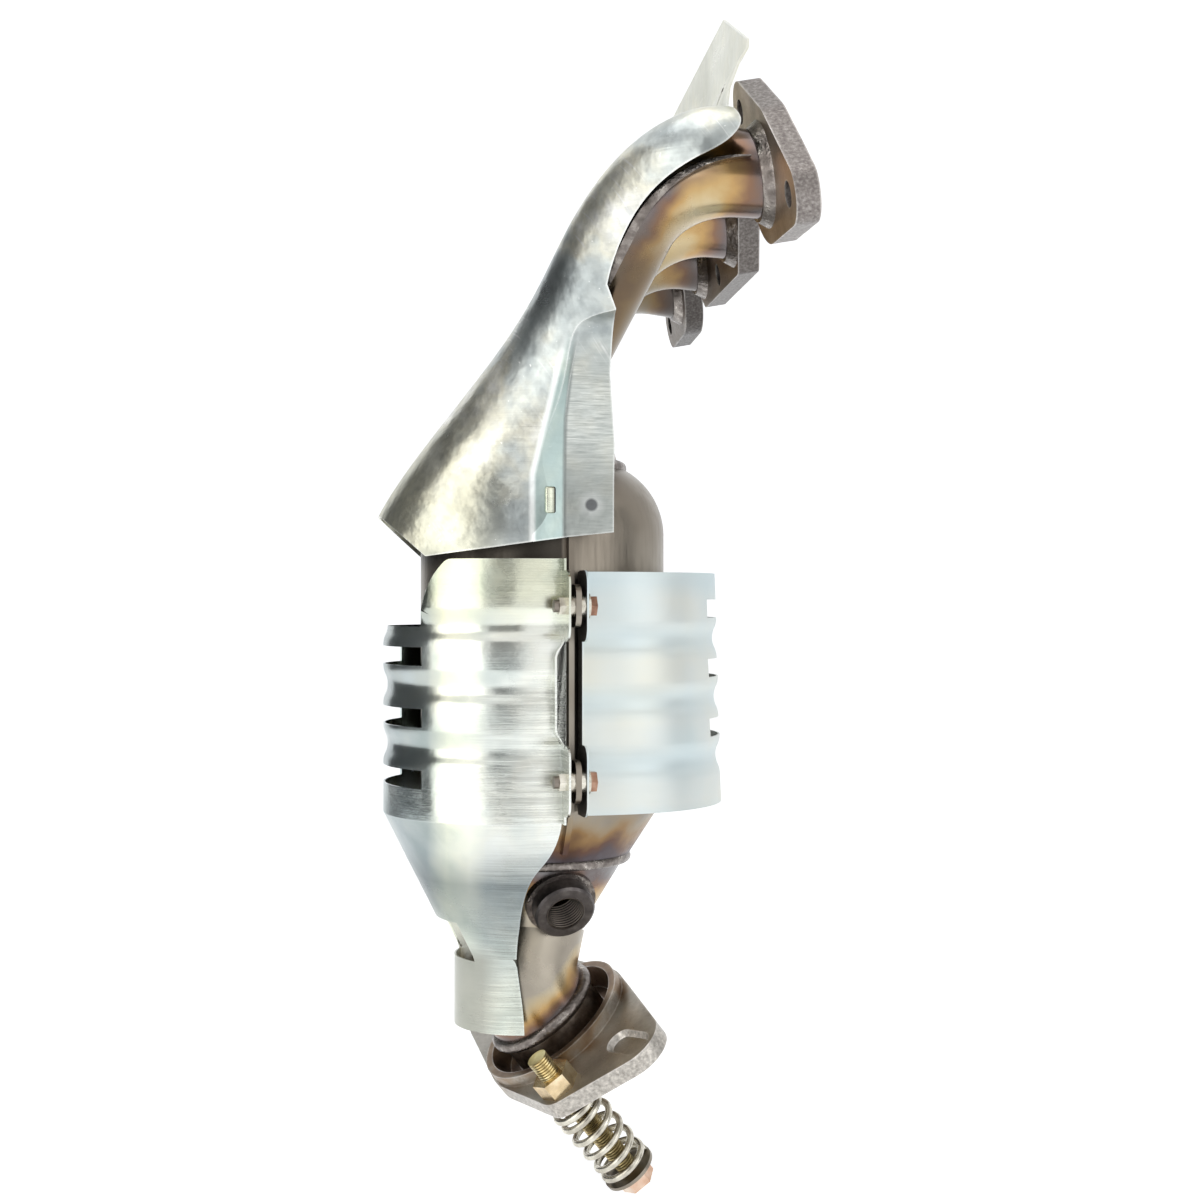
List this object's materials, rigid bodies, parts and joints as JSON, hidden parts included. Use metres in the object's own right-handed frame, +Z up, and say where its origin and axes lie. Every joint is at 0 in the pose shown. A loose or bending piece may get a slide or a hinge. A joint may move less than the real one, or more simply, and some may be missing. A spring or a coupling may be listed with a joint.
{
  "type": "catalytic converter",
  "caption": "Exhaust manifold with a close-coupled catalytic converter, ribbed heat shields, an oxygen sensor boss and a sprung, dished outlet flange.",
  "frame": {"origin": "middle of the centre port flange's head face", "axes": "+X towards the cylinder head, Y along the row of ports with the front port at -Y, +Z up along the can"},
  "size_m": [0.1658, 0.35, 0.4989],
  "materials": {
    "cast_steel": "rough sawn and blasted steel",
    "weld": "rippled weld bead",
    "heated_stainless": "stainless sheet with straw and copper heat tints",
    "stainless": "satin stainless sheet",
    "mat": "grey-white mineral mat",
    "brick": "fired ceramic honeycomb",
    "turned_steel": "turned steel, heat dulled",
    "yellow_zinc": "yellow passivated zinc plate",
    "spring_steel": "drawn wire",
    "bright_sheet": "bright aluminised sheet",
    "pale_sheet": "matt pale aluminised sheet",
    "copper_zinc": "reddish plated head"
  },
  "bodies": {
    "root": {"port_flange_front": "cast_steel", "port_flange_centre": "cast_steel", "port_flange_rear": "cast_steel", "port_welds": "weld", "manifold_upper_shell": "heated_stainless", "manifold_lower_shell": "heated_stainless", "manifold_seam_weld": "weld", "collector_weld": "weld", "can_front_half": "stainless", "can_rear_half": "stainless", "support_mat": "mat", "catalyst_brick": "brick", "cone_weld": "weld", "outlet_pipe": "heated_stainless", "sensor_boss": "turned_steel", "boss_weld": "weld", "collar_weld": "weld", "outlet_collar": "turned_steel", "outlet_flange": "cast_steel", "joint_seat": "turned_steel", "spring_bolts": "yellow_zinc", "spring_bolt_nuts": "yellow_zinc", "spring_washers": "stainless", "springs": "spring_steel", "front_heat_shield": "bright_sheet", "rear_heat_shield": "pale_sheet", "shield_bolts": "copper_zinc", "shield_washers": "stainless", "shield_spacers": "stainless", "shield_nuts": "stainless", "upper_heat_shield": "bright_sheet", "cover_brackets": "stainless"}
  },
  "joints": []
}
